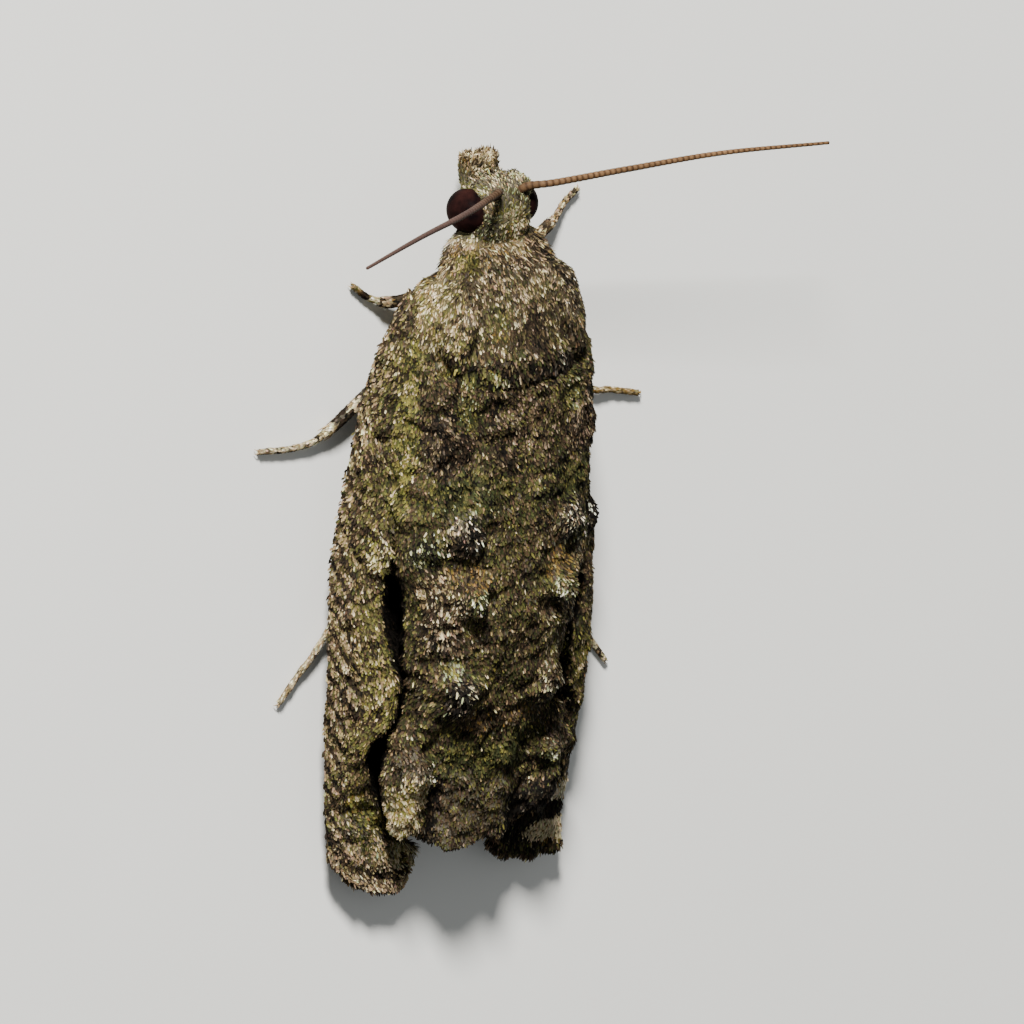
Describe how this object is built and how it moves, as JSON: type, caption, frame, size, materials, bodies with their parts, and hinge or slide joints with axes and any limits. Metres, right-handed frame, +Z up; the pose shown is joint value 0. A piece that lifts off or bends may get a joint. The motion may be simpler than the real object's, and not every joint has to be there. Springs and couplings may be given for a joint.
{
  "type": "moth",
  "caption": "Still, life-size model of a mossy leafroller moth at rest, wings folded as a roof over its back and feelers spread.",
  "frame": {"origin": "middle of the underside of the model's box, at the level of the ground that the feet stand on", "axes": "+Z up, -Y towards the head, +X to the moth's own left side"},
  "size_m": [0.0114, 0.013, 0.0046],
  "materials": {
    "mossy_wing": "rough overlapping scales, mossy green, brown and cream, slightly shiny where they catch the light",
    "thorax_scales": "long rough scales, olive and grey-brown",
    "head_scales": "short rough scales, grey-green",
    "collar_scales": "tan rough scales",
    "palp_scales": "cream, tan and olive bristling scales",
    "eye": "near-black maroon, glossy, finely faceted",
    "feeler": "tan with fine dark rings, satin",
    "leg_dark": "dark brown with cream bands, satin scales",
    "leg_pale": "cream with brown rings, satin scales",
    "abdomen_scales": "flat grey-brown scales in rings",
    "hindwing_membrane": "thin grey-brown wing with a pale fringe"
  },
  "bodies": {
    "root": {"head": "head_scales", "collar": "collar_scales", "thorax": "thorax_scales", "abdomen": "abdomen_scales", "eye_left": "eye", "palp_left": "palp_scales", "antenna_left": "feeler", "antenna_left_scape": "feeler", "tegula_left": "thorax_scales", "forewing_left": "mossy_wing", "hindwing_left": "hindwing_membrane", "fore_leg_left_femur": "leg_dark", "fore_leg_left_tibia": "leg_dark", "fore_leg_left_tarsus": "leg_pale", "mid_leg_left_femur": "leg_dark", "mid_leg_left_tibia": "leg_dark", "mid_leg_left_tarsus": "leg_pale", "hind_leg_left_femur": "leg_dark", "hind_leg_left_tibia": "leg_dark", "hind_leg_left_tarsus": "leg_pale", "eye_right": "eye", "palp_right": "palp_scales", "antenna_right": "feeler", "antenna_right_scape": "feeler", "tegula_right": "thorax_scales", "forewing_right": "mossy_wing", "hindwing_right": "hindwing_membrane", "fore_leg_right_femur": "leg_dark", "fore_leg_right_tibia": "leg_dark", "fore_leg_right_tarsus": "leg_pale", "mid_leg_right_femur": "leg_dark", "mid_leg_right_tibia": "leg_dark", "mid_leg_right_tarsus": "leg_pale", "hind_leg_right_femur": "leg_dark", "hind_leg_right_tibia": "leg_dark", "hind_leg_right_tarsus": "leg_pale"}
  },
  "joints": []
}
